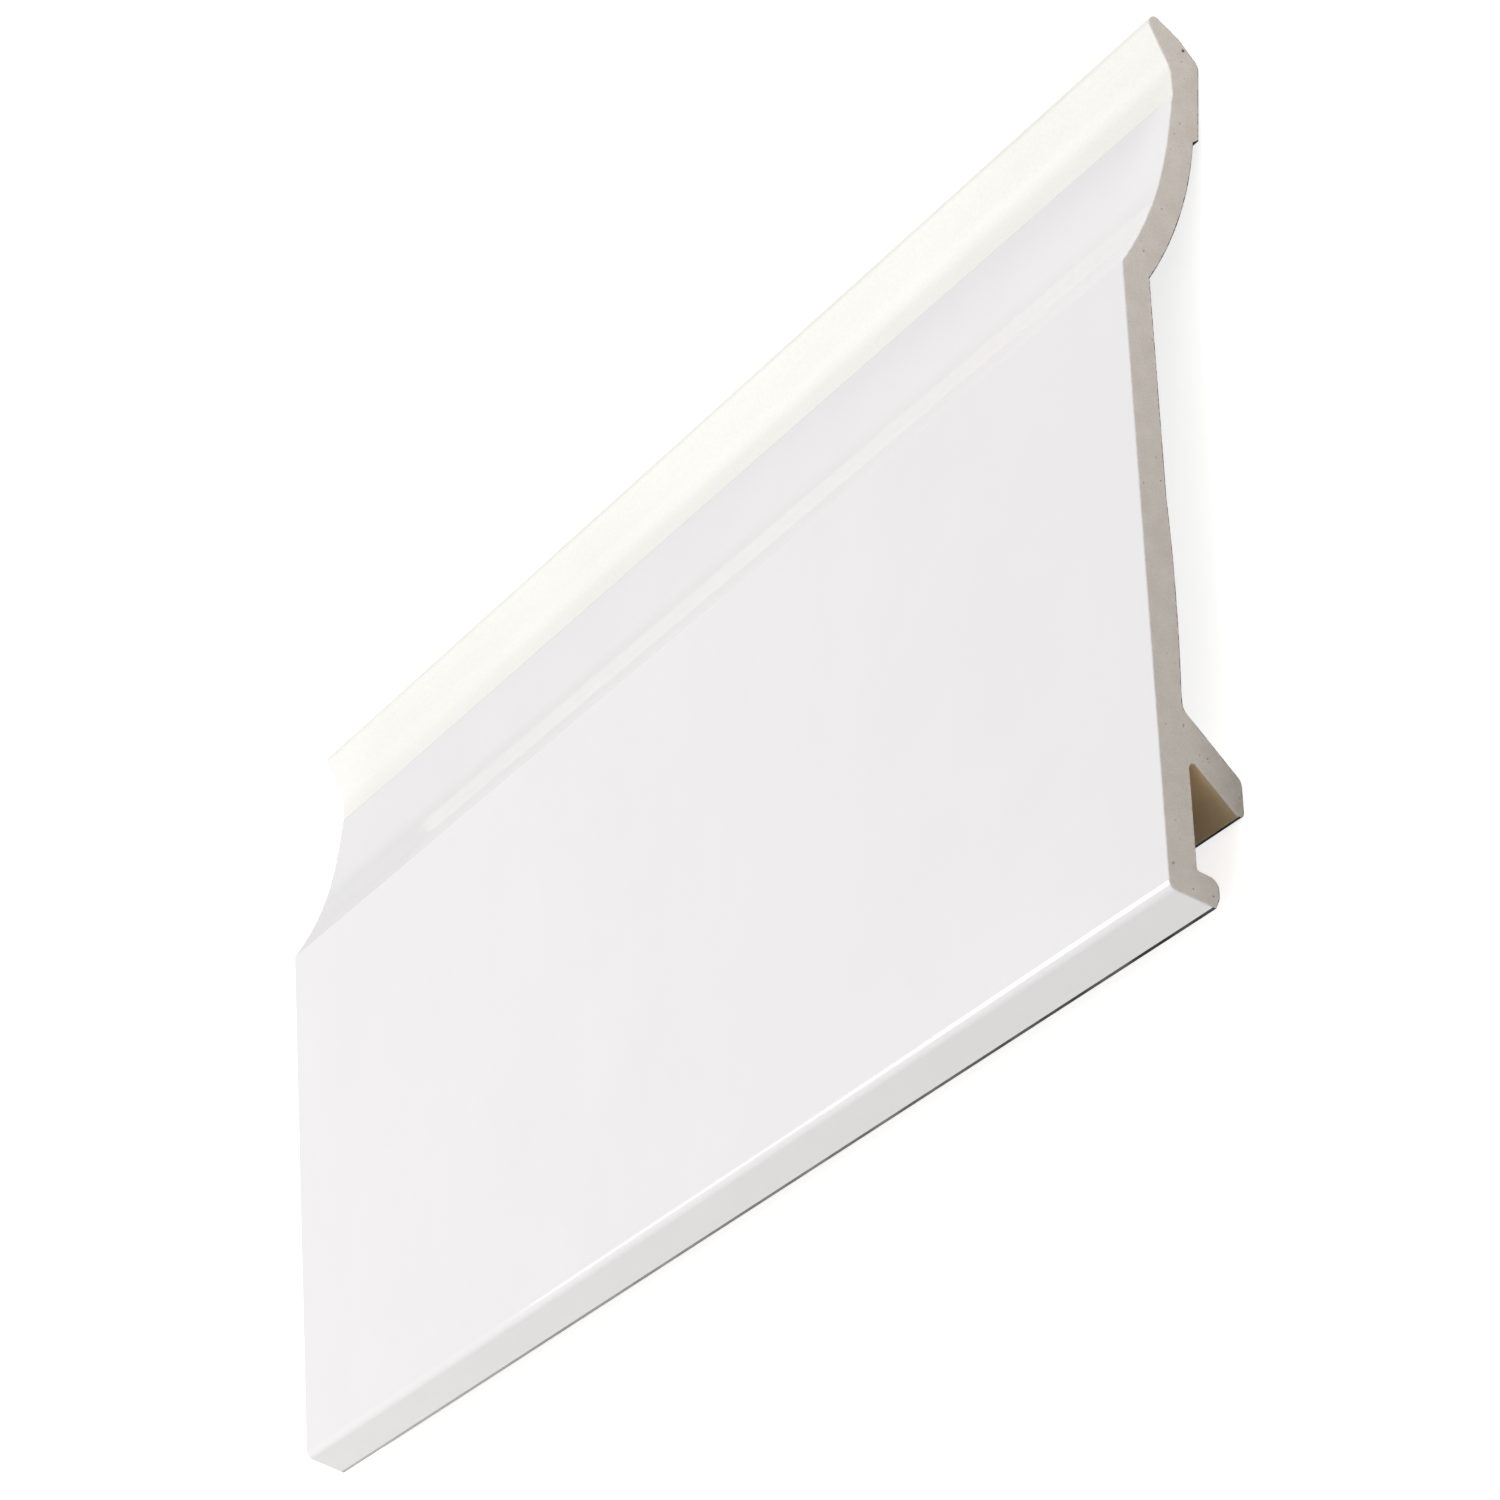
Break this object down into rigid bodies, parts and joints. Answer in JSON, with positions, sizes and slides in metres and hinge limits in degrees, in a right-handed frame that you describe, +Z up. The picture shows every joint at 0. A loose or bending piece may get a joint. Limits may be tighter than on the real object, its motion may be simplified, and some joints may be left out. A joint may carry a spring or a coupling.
{
  "type": "shiplap cladding board",
  "caption": "White foamed PVC shiplap cladding board: flat face under a concave scotia, nailing tongue on top, hook fin and lip at the bottom edge.",
  "frame": {"origin": "on the floor, under the middle of the board's bounding box, with the board lying on its back", "axes": "+X along the board, +Y from the lip towards the tongue, +Z up, out of the face"},
  "size_m": [0.4, 0.1728, 0.0183],
  "materials": {
    "white_pvc": "satin"
  },
  "bodies": {
    "root": {"board": "white_pvc"}
  },
  "joints": []
}
